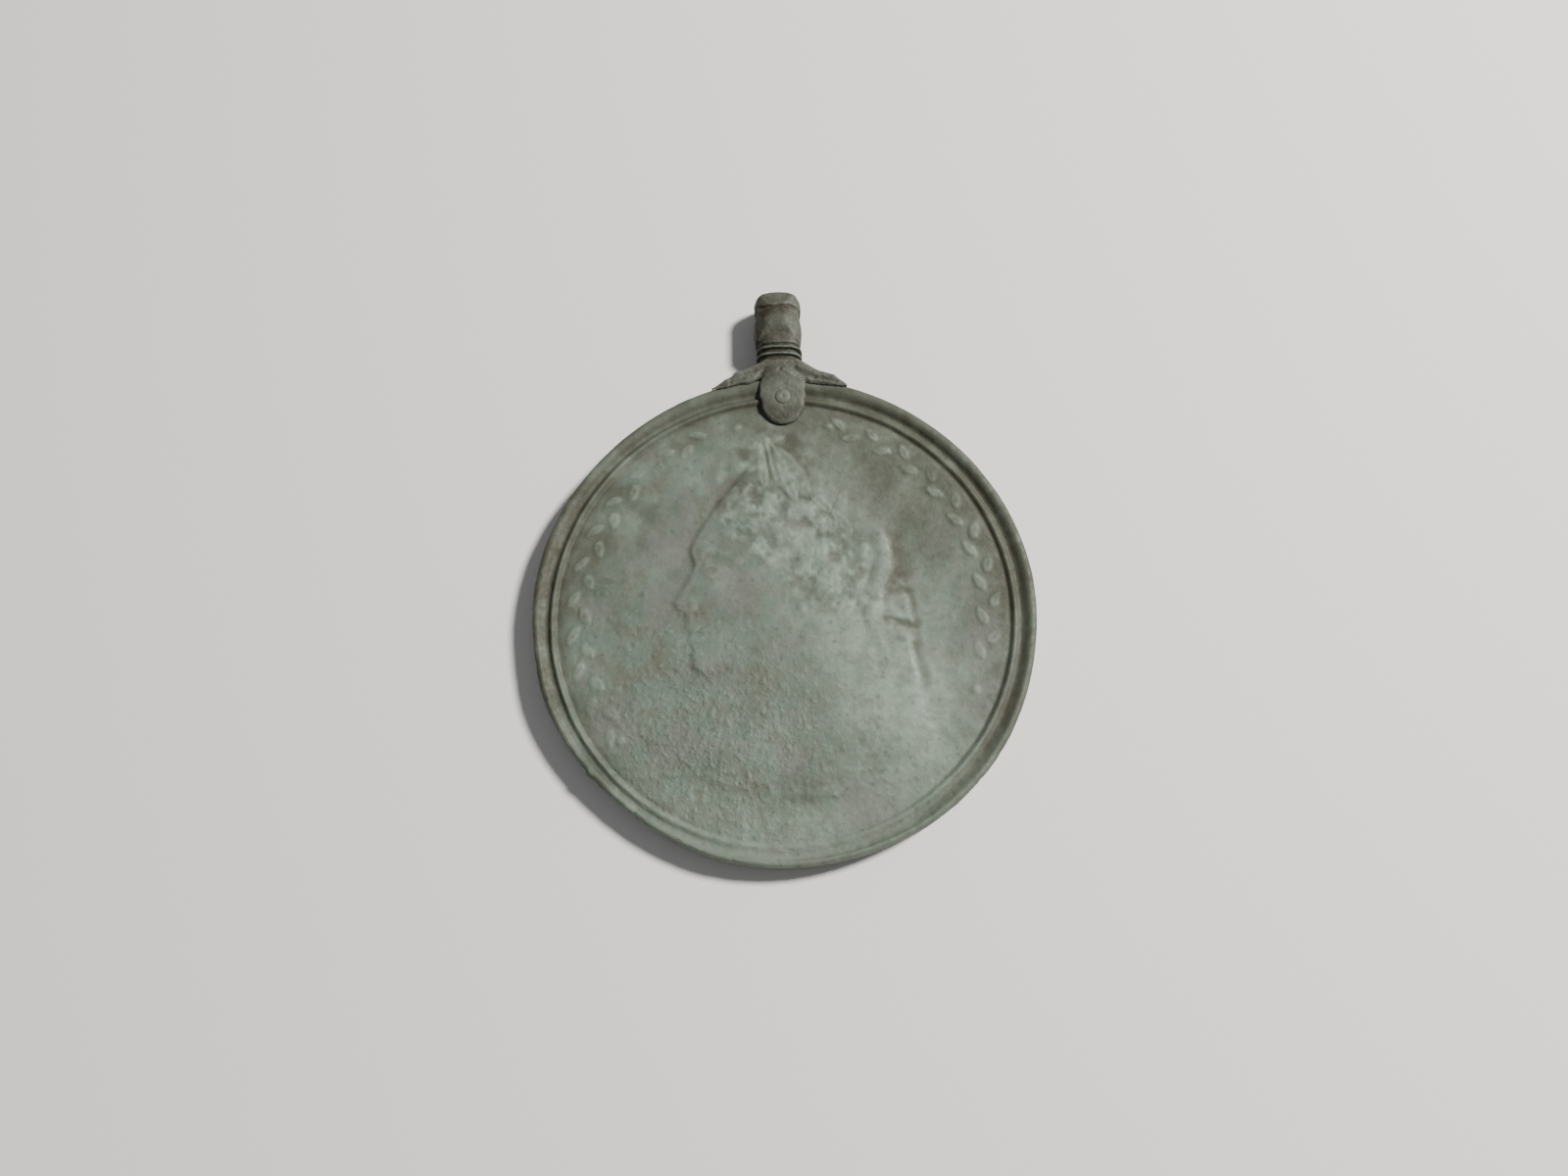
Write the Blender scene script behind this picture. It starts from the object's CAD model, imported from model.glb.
"""Looks of a worn cast peace medal with a claw and loop, lying face up.

Shapes are in millimetres in the medal's own frame, as in the part's source: the disc's
axis is Z, the back of its rim is at z = 0, and +Y points to the loop. lay() lets them
down onto the surface, in the frame's metres.
"""
import math

import bpy
import numpy as np
from mathutils import Matrix, Vector


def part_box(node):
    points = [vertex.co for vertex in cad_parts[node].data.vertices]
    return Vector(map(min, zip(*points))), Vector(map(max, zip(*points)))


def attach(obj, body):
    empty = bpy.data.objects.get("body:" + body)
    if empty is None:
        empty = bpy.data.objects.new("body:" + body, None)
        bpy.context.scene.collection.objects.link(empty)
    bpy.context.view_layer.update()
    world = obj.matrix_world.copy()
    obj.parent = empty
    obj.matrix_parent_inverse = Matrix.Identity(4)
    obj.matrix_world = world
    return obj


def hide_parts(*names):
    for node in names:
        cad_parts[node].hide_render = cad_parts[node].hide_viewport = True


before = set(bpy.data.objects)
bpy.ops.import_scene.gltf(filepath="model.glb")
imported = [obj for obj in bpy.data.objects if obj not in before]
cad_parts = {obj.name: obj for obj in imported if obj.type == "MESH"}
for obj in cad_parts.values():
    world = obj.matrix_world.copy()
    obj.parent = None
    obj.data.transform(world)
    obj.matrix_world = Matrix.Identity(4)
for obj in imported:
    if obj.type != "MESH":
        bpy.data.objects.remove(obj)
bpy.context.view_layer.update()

# Sizes that the part's source gives, in millimetres
MM = 0.001
disc_low, disc_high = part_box("medal_disc")
DISC_R = (disc_high[0] - disc_low[0]) / 2 / MM
RIM_T = 2.8
FIELD_SINK = 0.42
ROLL_R = 0.45
LOOP_Y = 29.1
LOOP_W = 4.7
LOOP_H = 5.7
LOOP_T = 4.05
LOOP_BACK_R = 4.4
HOLE_R = 0.95
TONGUE_PROUD = 0.42
ARM_PROUD = 0.32
HEAD_PROUD = 0.12
RIVET_XY = (0.35, 20.35)
REST_WEAR = 0.05
MID_Z = RIM_T / 2
FIELD_Z = RIM_T - FIELD_SINK


# How the medal lies

def lie_of_the_medal():
    """Tilt in radians and shift along Y and Z, on the backs of the rim and the loop."""
    rim_y, rim_z = -(DISC_R - ROLL_R), ROLL_R
    loop_z = MID_Z - LOOP_T / 2 + LOOP_BACK_R
    span_y, span_z = LOOP_Y - rim_y, loop_z - rim_z
    tilt = math.asin((LOOP_BACK_R - ROLL_R) / math.hypot(span_y, span_z)) - math.atan2(span_z, span_y)
    up = ROLL_R - (rim_y * math.sin(tilt) + rim_z * math.cos(tilt)) - REST_WEAR
    top_y = LOOP_Y + LOOP_H / 2
    along = -(top_y - DISC_R) * math.cos(tilt) / 2 + RIM_T * math.sin(tilt) / 2
    return tilt, along, up


LIE_TILT, LIE_Y, LIE_Z = lie_of_the_medal()
LAY = Matrix.Translation((0, LIE_Y * MM, LIE_Z * MM)) @ Matrix.Rotation(LIE_TILT, 4, "X")


def lay(points):
    """Medal millimetres as metres of the frame, worn flat at the floor."""
    turned = np.array(LAY.to_3x3())
    laid = (points * MM) @ turned.T + np.array(LAY.translation)
    laid[:, 2] = np.maximum(laid[:, 2], 0)
    return laid


# Smooth steps and noise

def unit(value):
    """The value, held between 0 and 1."""
    return np.clip(value, 0, 1)


def smooth(low, high, value):
    t = unit((value - low) / (high - low))
    return t * t * (3 - 2 * t)


def bump(distance, width):
    """1 at distance 0, falling smoothly to 0 at width."""
    t = unit(np.abs(distance) / width)
    return (1 - t * t) ** 2


def blob(flat, x, y, radius):
    return bump(np.hypot(flat[:, 0] - x, flat[:, 1] - y), radius)


def lattice_values(cells, seed):
    """One repeatable number between 0 and 1 for each row of whole numbers."""
    mixed = np.full(len(cells), seed * 7919 + 17, dtype=np.int64)
    for axis, prime in enumerate((73856093, 19349663, 83492791)[:cells.shape[1]]):
        mixed = (mixed ^ (cells[:, axis] * prime)) & 0x7FFFFFFF
        mixed = (mixed * 1103515245 + 12345) & 0x7FFFFFFF
    return ((mixed >> 7) & 0xFFFF) / 65535


def noise(points, size, seed):
    """Smooth noise between -1 and 1, with lumps of the given size in millimetres."""
    scaled = points / size
    cell = np.floor(scaled).astype(np.int64)
    part = scaled - cell
    part = part * part * (3 - 2 * part)
    result = np.zeros(len(points))
    for offset in np.ndindex(*[2] * points.shape[1]):
        weight = np.prod(np.where(offset, part, 1 - part), axis=1)
        result += weight * lattice_values(cell + offset, seed)
    return 2 * result - 1


def octaves(points, size, seed, count=3):
    """Noise of a size, with finer and weaker noise on top."""
    total = np.zeros(len(points))
    for i in range(count):
        total += noise(points + 3.7 * i, size / 2 ** i, seed + i) / 2 ** i
    return total / (2 - 0.5 ** (count - 1))


def pits(points, cell_size, seed, share):
    """Depth of round pits, at most one in each square cell of the face."""
    flat = points[:, :2] / cell_size
    cell = np.floor(flat).astype(np.int64)
    depth = np.zeros(len(points))
    for offset in np.ndindex(3, 3):
        other = cell + offset - 1
        values = [lattice_values(other, seed + i) for i in range(4)]
        centre = other + 0.2 + 0.6 * np.stack(values[:2], axis=1)
        size = 0.12 + 0.2 * values[2]
        distance = np.linalg.norm(flat - centre, axis=1)
        depth = np.maximum(depth, (values[3] < share) * bump(distance, size) * (0.4 + size))
    return depth


# Mesh helpers

def normals_of(points, faces):
    """Unit normals of the points of a mesh whose faces are rows of four."""
    corners = points[faces]
    face_normals = np.cross(corners[:, 2] - corners[:, 0], corners[:, -1] - corners[:, 1])
    result = np.zeros_like(points)
    for k in range(faces.shape[1]):
        for axis in range(3):
            result[:, axis] += np.bincount(faces[:, k], face_normals[:, axis], len(points))
    return result / np.maximum(np.linalg.norm(result, axis=1), 1e-12)[:, None]


def smoothed(points, faces, rounds):
    """Points moved to the mean of their neighbours, several times over."""
    start, end = faces.ravel(), np.roll(faces, -1, axis=1).ravel()
    here, there = np.concatenate([start, end]), np.concatenate([end, start])
    degree = np.maximum(np.bincount(here, minlength=len(points)), 1)
    for _ in range(rounds):
        points = np.stack([np.bincount(here, values[there], len(points)) / degree
                           for values in points.T], axis=1)
    return points


def hollows(points, faces, rounds, depth):
    """How hollow the surface is: 1 in a groove of that depth, -1 on a ridge."""
    moved = smoothed(points, faces, rounds) - points
    return np.clip((moved * normals_of(points, faces)).sum(axis=1) / depth, -1, 1)


def add_object(name, data):
    thing = bpy.data.objects.new(name, data)
    bpy.context.scene.collection.objects.link(thing)
    return thing


def make_piece(name, node, points, faces, material, marks):
    """A mesh piece that stands for a CAD node; marks hold one number a point."""
    mesh = bpy.data.meshes.new(name)
    rows = [face if face[2] != face[3] else face[:3] for face in faces.tolist()]
    mesh.from_pydata(lay(points).tolist(), [], rows)
    mesh.validate()
    for mark, values in marks.items():
        layer = mesh.attributes.new(mark, "FLOAT", "POINT")
        layer.data.foreach_set("value", np.asarray(values, dtype=np.float32))
    mesh.shade_smooth()
    mesh.materials.append(material)
    piece = add_object(name, mesh)
    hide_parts(node)
    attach(piece, "root")


# The bust and the border

SECTIONS = np.array([
    # height, front edge, back edge
    [-16.8, 0.6, 3], [-16.4, -1.6, 5.4], [-15.9, -4.2, 7.6], [-15.3, -6.2, 9.6],
    [-14.6, -7.1, 11.3], [-13.6, -6.4, 12.6], [-12.4, -5.2, 13], [-10.6, -3.9, 12.9],
    [-9, -3.2, 12.15], [-7.6, -3.1, 11.9], [-6.8, -3.8, 11.75], [-6.3, -5, 11.7],
    [-5.9, -6.8, 11.65], [-5.4, -7.8, 11.55], [-4.7, -8.2, 11.4], [-4, -8.1, 11.35],
    [-3.5, -7.9, 11.3], [-2.7, -8.4, 11.2], [-2.1, -8.2, 10.7], [-1.5, -8.6, 9.8],
    [-0.9, -8.5, 9.2], [-0.4, -8.6, 9], [0.1, -9.4, 8.9], [0.7, -9.8, 8.9],
    [1.2, -9.5, 9], [1.5, -9.2, 9.1], [2.5, -8.6, 9.55], [3.5, -8.1, 9.85],
    [4.4, -7.9, 9.9], [5.4, -8.3, 9.8], [6.4, -8, 9.55], [7.4, -7.5, 8.8],
    [8.6, -6.8, 7.7], [9.8, -5.9, 6.4], [11, -5, 5.4], [12.4, -3.8, 4.2],
    [13.4, -3, 3.2], [14, -2.4, 2.4],
])

WREATH = [
    # base x, base y, direction, length, half width, height
    (1.3, 10, 111, 7, 1.05, 0.12), (2.6, 10.4, 118, 6, 1.25, 0.09),
    (-0.4, 12.1, 101, 4.5, 0.32, 0.1), (-1.5, 11.5, 93, 4.3, 0.6, 0.07),
    (3, 10.2, 80, 2.8, 0.6, 0.05), (4.6, 8.9, 133, 3.1, 0.65, 0.08),
    (5, 8.5, 74, 2.7, 0.6, 0.04), (6.3, 6.9, 126, 3, 0.6, 0.08),
]

CURLS = [
    # x, y, radius
    (-5.2, 9.9, 0.9), (-3.9, 11.2, 0.9), (-2.4, 11.3, 0.8), (-4.5, 8.5, 1), (-2.8, 9.7, 1.1),
    (-0.9, 10.6, 1), (-3.2, 7, 0.9), (-1.2, 8.1, 1.1), (0.8, 9.1, 1), (-1.9, 5.7, 0.9),
    (0.3, 6.4, 1.1), (2.3, 7.4, 1), (4, 7, 0.8), (1.9, 4.9, 0.9), (3.9, 5.2, 1.1),
    (3.2, 3.3, 0.9), (5.5, 4.2, 1), (5, 2.1, 1), (6.9, 2.5, 0.9), (6.3, 0.2, 1),
    (4.6, 0.2, 0.8), (7.7, -0.9, 0.8),
]

HAIR_PATH = [(-0.9, 13.4), (-1.9, 10.2), (0.6, 7.6), (4.0, 4.6), (7.0, 2.4)]
HAIR_WIDTH = 5.4
BACK_ROLL = [(8.7, 6.9), (9.1, 5.2), (9.1, 3.6), (8.3, 1.6)]

STROKES = [
    # curve through these points, half width, height in millimetres
    ([(-7.6, 4.9), (-6.6, 5.5), (-5, 5.2)], 0.7, 0.07),  # brow
    ([(-7.1, 3.9), (-6.4, 4.2), (-5.5, 3.7)], 0.35, 0.06),  # upper lid
    ([(-7, 3.4), (-6.3, 3.2), (-5.6, 3.6)], 0.35, 0.05),  # lower lid
    ([(-8, 4), (-8.5, 2.4), (-9.2, 1)], 0.6, 0.06),  # bridge of the nose
    ([(-8.2, 1), (-7.9, 0.4), (-8.3, 0)], 0.45, 0.06),
    ([(-8.3, -2.1), (-7.4, -2.15), (-6.6, -2)], 0.35, -0.06),  # line of the mouth
    ([(-8.2, -1.5), (-7.4, -1.6), (-6.8, -1.9)], 0.4, 0.05),  # upper lip
    ([(-8.2, -2.7), (-7.5, -2.7), (-6.9, -2.3)], 0.4, 0.05),  # lower lip
    ([(-7.9, -4.6), (-7.2, -4.9), (-6.6, -4.8)], 1, 0.05),  # chin
    ([(-5.6, 1.6), (-4.4, 1), (-3.4, 1.6)], 1.8, 0.05),  # cheek
    ([(2.4, 2.3), (1.4, 2.3), (1.2, 0.9), (1.9, -0.2)], 0.45, 0.07),  # ear
    ([(2.1, 1.5), (1.8, 1.1), (2, 0.5)], 0.35, 0.05),
    ([(1.4, -1.6), (0.6, -3.4), (-1.6, -5), (-5.2, -5.8)], 1.1, -0.06),  # under the jaw
    (BACK_ROLL, 1.1, 0.08),  # roll of back hair
    ([(7.6, 5.2), (7.9, 4), (7.7, 2.8), (7.2, 1.6)], 0.45, -0.04),
    ([(8.6, -1.6), (9.8, -3.8), (10.3, -7)], 0.7, 0.035),  # locks behind
    ([(7.6, -1.4), (8.7, -3.7), (9.1, -6.6), (9.8, -8.4)], 0.6, 0.03),
    ([(6.7, -1.8), (7.6, -4.2), (7.9, -6.8), (8.4, -8)], 0.6, 0.03),
    ([(5, -9.2), (0.6, -11.4), (-5.6, -13.9)], 0.9, 0.06),  # folds of the dress
    ([(6.2, -10.6), (1.8, -13.1), (-3, -15.3)], 0.9, 0.05),
    ([(8.8, -10.6), (5.6, -13.2), (1.4, -15.6)], 0.9, 0.05),
    ([(11.6, -9.6), (9.6, -12.6), (5, -15.6)], 0.9, 0.06),
]

BOW_CORNERS = [(7.4, 1.1), (10.9, 1.2), (11.45, -1.4), (7.4, -0.75)]
BOW_H = 0.12
LEAF_CREASES = [
    [(-1.62, 15.6), (-1.3, 14.4), (-1, 13.1)], [(-1.05, 16.1), (-0.7, 14.2), (-0.1, 12.1)],
]
RUBBED_RIBBON = [(9.4, -2.4), (10.2, -2.6), (11.1, -2.9)]
WORN_EDGE = 0.22
CRISP_STROKES = [
    # curve through these points, half width, how much sharper the edge is there
    ([(-2.6, 13.6), (-5.4, 10.6), (-7.2, 7.6), (-7.8, 5.2)], 2.2, 0.65),
    ([(9.4, 6.6), (9.9, 4.6), (9.2, 1.6), (10.6, -1.6), (11.3, -4.2), (11.8, -5.8)], 1.8, 0.78),
    ([(-8.2, 4.6), (-9.6, 0.8), (-8.4, -2.2), (-7.9, -5)], 2.2, 0.45),
    ([(-6.4, -15.6), (-1, -16.9), (4, -16.4)], 1.6, 0.3),
]
LOOSE_STROKES = [
    # curve through these points, half width, height in millimetres
    ([(9.3, -2.4), (10.3, -2.65), (11.2, -2.9)], 0.7, 0.08),  # ribbon under the bow
    ([(9.1, -1.25), (10.3, -1.5), (11.8, -1.9)], 0.5, -0.05),  # gap between the two
    ([(10.1, -0.2), (10.4, -0.3), (10.7, -0.45)], 0.6, -0.06),  # dimple of the bow
    (LEAF_CREASES[0], 0.3, -0.07), (LEAF_CREASES[1], 0.32, -0.08),
]
GRIMY_STROKES = [
    # curve through these points, half width, weight of the dirt
    ([(9.6, 7), (10.05, 5.4), (10.1, 4), (9.9, 3), (9.4, 2)], 0.5, 0.7),  # back hair's edge
    ([(10.1, 6.6), (10.6, 5.3), (10.6, 3.9), (10.3, 2.8)], 1.1, 0.4),  # soft dirt beside it
    ([(9.3, 1.75), (10, 1.7), (10.6, 1.65), (11.3, 1.4)], 0.7, 0.75),  # corner over the bow
    ([(11.3, 1.3), (11.6, 0.4), (11.8, -0.8), (11.85, -1.8)], 0.55, 0.55),  # right of the bow
    ([(9.1, -1.2), (10.3, -1.5), (11.8, -1.9)], 0.5, 0.7),
    ([(9.3, -2.5), (10.3, -2.9), (11.3, -3.1)], 0.4, 0.4),
    ([(11.7, -2.4), (11.75, -4.2), (12.2, -5.8), (12.5, -6.9)], 0.7, 0.5),  # back of the neck
    (LEAF_CREASES[0], 0.28, 0.5), (LEAF_CREASES[1], 0.3, 0.65),
]
GRIMY_SPOTS = [(10.5, 3.2, 1.7, 0.7), (9.9, 2.2, 0.9, 0.8)]  # x, y, radius, weight

BORDER_ARCS = [(236, 343), (19, 110)]
PELLET_ANGLES = (347.5, 14.5, 231.5, 114.5)
BORDER_R = 18.2
BORDER_STEP = 5.1
LEAF_L = 1.7
LEAF_W = 0.72
LEAF_TURN = 32
STAGGER = 0.12
PELLET_R = 0.42


def on_clock(degrees, radius):
    """A place on the disc, by its clock angle from the loop."""
    turn = math.radians(degrees)
    return radius * math.sin(turn), radius * math.cos(turn)


def curve_points(corners, count=14):
    """Points on a smooth curve through the corners."""
    corners = np.array(corners)
    ends = [2 * corners[0] - corners[1], *corners, 2 * corners[-1] - corners[-2]]
    points = []
    for i in range(len(corners) - 1):
        p0, p1, p2, p3 = ends[i:i + 4]
        for t in np.linspace(0, 1, count, endpoint=False):
            points.append(0.5 * (2 * p1 + (p2 - p0) * t + (2 * p0 - 5 * p1 + 4 * p2 - p3) * t ** 2
                                 + (3 * p1 - p0 - 3 * p2 + p3) * t ** 3))
    return np.array([*points, corners[-1]])


def line_distance(flat, start, end):
    """Distance of each point to a straight line, and how far along it is, from 0 to 1."""
    step = end - start
    t = unit(((flat - start) @ step) / max(step @ step, 1e-12))
    return np.linalg.norm(flat - start - t[:, None] * step, axis=1), t


def curve_distance(flat, corners):
    """The same for the smooth curve through the corners."""
    line = curve_points(corners)
    best = np.full(len(flat), 1e9)
    where = np.zeros(len(flat))
    for i in range(len(line) - 1):
        distance, t = line_distance(flat, line[i], line[i + 1])
        nearer = distance < best
        best = np.where(nearer, distance, best)
        where = np.where(nearer, (i + t) / (len(line) - 1), where)
    return best, where


def near(flat, corners, reach):
    """Which points lie in the box round the corners, grown by reach."""
    low = np.min(corners, axis=0) - reach
    high = np.max(corners, axis=0) + reach
    return np.all((flat > low) & (flat < high), axis=1)


def stroke(flat, corners, width, taper=0):
    """1 on the curve, falling to 0 at width, and weaker by taper at its ends."""
    mask = np.zeros(len(flat))
    pick = near(flat, corners, width)
    distance, along = curve_distance(flat[pick], corners)
    swell = np.sin(np.pi * np.clip(along, 0.02, 0.98))
    mask[pick] = bump(distance, width) * (1 - taper + taper * swell)
    return mask


def stroke_height(flat, strokes):
    """Sum of the strokes' ridges at each point."""
    height = np.zeros(len(flat))
    for corners, width, peak in strokes:
        height += peak * stroke(flat, corners, width, 0.5)
    return height


def leaf_height(flat, x, y, direction, length, half_w):
    """A pointed leaf with a sunk midrib, 1 high."""
    turn = math.radians(direction)
    local = flat - (x, y)
    along = (local @ (math.cos(turn), math.sin(turn))) / length
    across = local @ (-math.sin(turn), math.cos(turn))
    inside = (along > -0.05) & (along < 1.05)
    width = half_w * np.sin(np.pi * np.clip(along, 0.02, 0.98) ** 0.85) ** 0.8
    body = smooth(1, 0.45, np.abs(across) / (width + 0.1))
    midrib = 0.22 * bump(across, 0.2) * smooth(0, 0.2, along) * smooth(1, 0.7, along)
    ends = smooth(-0.05, 0.1, along) * smooth(1.05, 0.9, along)
    return np.where(inside, body * ends * (1 - midrib), 0)


def curl_height(flat, x, y, radius):
    """A round curl whose hair winds inwards, 1 high."""
    across, up = (flat - (x, y)).T
    distance = np.hypot(across, up)
    angle = np.arctan2(up, across)
    winding = 0.5 + 0.5 * np.cos(2 * np.pi * distance / (radius * 0.62) - angle)
    return bump(distance, radius * 1.08) ** 0.5 * (0.55 + 0.45 * winding)


def bust_outline():
    """The bust's outline as a closed chain of points."""
    heights, *edges = SECTIONS.T
    fine = np.arange(heights[0], heights[-1], 0.08)
    front, back = [np.stack([np.interp(fine, heights, edge), fine], axis=1) for edge in edges]
    loop = np.concatenate([front, back[::-1]])
    for _ in range(6):
        loop = (np.roll(loop, 1, axis=0) + 2 * loop + np.roll(loop, -1, axis=0)) / 4
    return loop


def outline_distance(flat, outline):
    """Distance to the outline, positive inside it."""
    best = np.full(len(flat), 1e9)
    inside = np.zeros(len(flat), dtype=bool)
    for a, b in zip(outline, np.roll(outline, -1, axis=0)):
        best = np.minimum(best, line_distance(flat, a, b)[0])
        if a[1] != b[1]:
            spans = (flat[:, 1] < a[1]) != (flat[:, 1] < b[1])
            cross_x = a[0] + (flat[:, 1] - a[1]) * (b[0] - a[0]) / (b[1] - a[1])
            inside ^= spans & (flat[:, 0] < cross_x)
    return np.where(inside, best, -best)


def warped(flat, amount, size, seed):
    """The points shifted a little by noise, so that nothing looks ruled."""
    shift = np.stack([octaves(flat, size, seed), octaves(flat + 31.7, size, seed + 9)], axis=1)
    return flat + amount * shift


def crisp_edge(flat):
    """How sharp the bust's edge is: worn nearly flat round the neck and the dress."""
    crisp = np.full(len(flat), WORN_EDGE)
    for corners, width, weight in CRISP_STROKES:
        crisp += weight * stroke(flat, corners, width)
    return unit(crisp)


def bust_height(flat):
    """Height of the worn bust above the field."""
    height = np.zeros(len(flat))
    pick = near(flat, [(-10, -17), (13.2, 16.6)], 1)
    plain = flat[pick]
    spots = warped(plain, 0.22, 2.2, 3)
    edge = outline_distance(spots, bust_outline())
    crisp = crisp_edge(plain)
    soft = 1.3 - 0.9 * crisp
    body = (0.02 + 0.15 * crisp) * smooth(-0.5 * soft, 0.6 * soft, edge)
    body += 0.2 * (1 - (1 - unit(edge / 5.5)) ** 2) * (edge > 0)
    curly = warped(plain, 0.5, 1.5, 7)
    hair = np.zeros(len(spots))
    for curl in CURLS:
        hair = np.maximum(hair, curl_height(curly, *curl))
    knobs = octaves(plain, 1.15, 17, 3)
    scalp = hair_zone(plain)
    hair = (0.05 * hair + 0.05 + 0.13 * knobs) * np.maximum(scalp, smooth(0, 1, hair))
    hair *= 1 - smooth(0, 0.5, stroke(plain, BACK_ROLL, 1.7))
    leaves = np.zeros(len(spots))
    for *leaf, peak in WREATH:
        leaves = np.maximum(leaves, peak * leaf_height(spots, *leaf))
    inner = smooth(0.1, 0.9, edge)
    details = np.maximum(hair * inner, leaves) + stroke_height(spots, STROKES) * inner
    worn_low = 0.5 + 0.5 * smooth(-8, 1, plain[:, 1] + 0.3 * plain[:, 0])
    patchy = np.clip(0.85 + 0.5 * octaves(plain, 2.2, 11), 0.25, 1.1)
    height[pick] = body + details * worn_low * patchy
    height[pick] += BOW_H * bow_shape(plain) + stroke_height(plain, LOOSE_STROKES)
    return height


def hair_zone(flat):
    """1 in the curls, fading out round them."""
    return smooth(0, 0.35, stroke(flat, HAIR_PATH, HAIR_WIDTH))


def bow_shape(flat):
    """The flat bow of the wreath's ribbon, 1 high."""
    inside = np.full(len(flat), 9.0)
    for (x0, y0), (x1, y1) in zip(BOW_CORNERS, BOW_CORNERS[1:] + BOW_CORNERS[:1]):
        across = (x1 - x0) * (flat[:, 1] - y0) - (y1 - y0) * (flat[:, 0] - x0)
        inside = np.minimum(inside, -across / math.hypot(x1 - x0, y1 - y0))
    return smooth(-0.2, 0.35, inside) * smooth(7.6, 9.6, flat[:, 0])


def rubbed_relief(flat):
    """Where the relief is rubbed pale: the top leaves, the bow, the back hair."""
    spots = warped(flat, 0.22, 2.2, 3)
    rubbed = bow_shape(flat)
    for *leaf, _ in WREATH[:4]:
        rubbed = np.maximum(rubbed, 0.75 * leaf_height(spots, *leaf))
    rubbed = np.maximum(rubbed, 0.5 * stroke(flat, BACK_ROLL, 1))
    return np.maximum(rubbed, 0.7 * stroke(flat, RUBBED_RIBBON, 0.7))


def border_height(flat):
    """Height of the worn laurel border and its pellets."""
    height = np.zeros(len(flat))
    spots = warped(flat, 0.14, 1.4, 19)
    for first, last in BORDER_ARCS:
        for i in range(int((last - first) / BORDER_STEP) + 1):
            side = 1 if i % 2 == 0 else -1
            clock = first + i * BORDER_STEP
            base = on_clock(clock, BORDER_R + side * STAGGER)
            direction = 180 - side * LEAF_TURN - clock
            pick = near(spots, [base], LEAF_L + 0.3)
            leaf = leaf_height(spots[pick], *base, direction, LEAF_L, LEAF_W / 2 + 0.1)
            height[pick] = np.maximum(height[pick], leaf)
    for clock in PELLET_ANGLES:
        pellet = blob(spots, *on_clock(clock, BORDER_R), PELLET_R * 1.4)
        height = np.maximum(height, 1.3 * pellet)
    worn = np.clip(0.7 + 0.75 * octaves(flat, 3.4, 23), 0.12, 1.1)
    return 0.125 * height * worn


# The disc

ROLL_MID_R = DISC_R - ROLL_R
BEAD_R = 20.54
BEAD_W = 0.42
BEAD_H = 0.3
FILLET_R = 20.02
GROOVE_R = 21.05
FIELD_R = 19.85
RIM_COUNT = 600
FRONT_BANDS = [
    # first radius, last radius, step, points round
    (0.35, 2.2, 0.3, 75), (2.2, 4.5, 0.2, 150), (4.5, 9, 0.17, 300), (9, FIELD_R, 0.165, 600),
]
BACK_BANDS = [(FIELD_R, 9.0, 0.34, 300), (9.0, 3.0, 0.4, 150), (3.0, 0.4, 0.5, 75)]
EDGE_WEAR = [
    # middle by the clock, half span, depth in millimetres
    (221, 30, 0.33), (262, 14, 0.1), (42, 42, 0.19), (318, 38, 0.24), (133, 34, -0.2),
]
RING_SHIFT = 0.3
RING_SHIFT_CLOCK = 185


def clock_of(points):
    """Angle of each point round the disc, clockwise from the loop, in degrees."""
    return np.degrees(np.arctan2(points[:, 0], points[:, 1])) % 360


def arc(clock, middle, span):
    """1 in the middle of an arc round the disc, falling to 0 at its ends, in degrees."""
    return bump((clock - middle + 180) % 360 - 180, span)


def rim_height(radius):
    """Front surface of the rim, from the field's edge to the crest of the roll."""
    floor = FIELD_Z - 0.02 * bump(radius - FILLET_R, 0.3)
    bead = BEAD_H * bump(radius - BEAD_R, BEAD_W) ** 0.8
    return floor + bead + (RIM_T - FIELD_Z) * smooth(GROOVE_R, ROLL_MID_R - 0.05, radius)


def roll_rings(first, last, step, middle_z):
    """Rings round the rim's roll, by their angle about the middle of its section."""
    return [(ROLL_MID_R + ROLL_R * math.cos(turn), middle_z + ROLL_R * math.sin(turn), RIM_COUNT)
            for turn in np.radians(np.arange(first, last, step))]


def disc_rings():
    """Rings from the front's middle over the rim to the back's: radius, height, point count."""
    rings = []
    for start, end, step, count in FRONT_BANDS:
        rings += [(radius, FIELD_Z, count) for radius in np.arange(start, end - 1e-6, step)]
    for radius in np.arange(FIELD_R, ROLL_MID_R, 0.075):
        rings.append((radius, rim_height(radius), RIM_COUNT))
    rings += roll_rings(90, -1, -15, RIM_T - ROLL_R)
    rings += [(DISC_R, height, RIM_COUNT)
              for height in np.arange(RIM_T - ROLL_R - 0.2, ROLL_R + 0.05, -0.3)]
    rings += roll_rings(0, -91, -18, ROLL_R)
    for radius in np.arange(ROLL_MID_R - 0.2, FIELD_R, -0.2):
        rings.append((radius, RIM_T - rim_height(radius), RIM_COUNT))
    for start, end, step, count in BACK_BANDS:
        rings += [(radius, FIELD_SINK, count) for radius in np.arange(start, end + 1e-6, -step)]
    return rings


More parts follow.
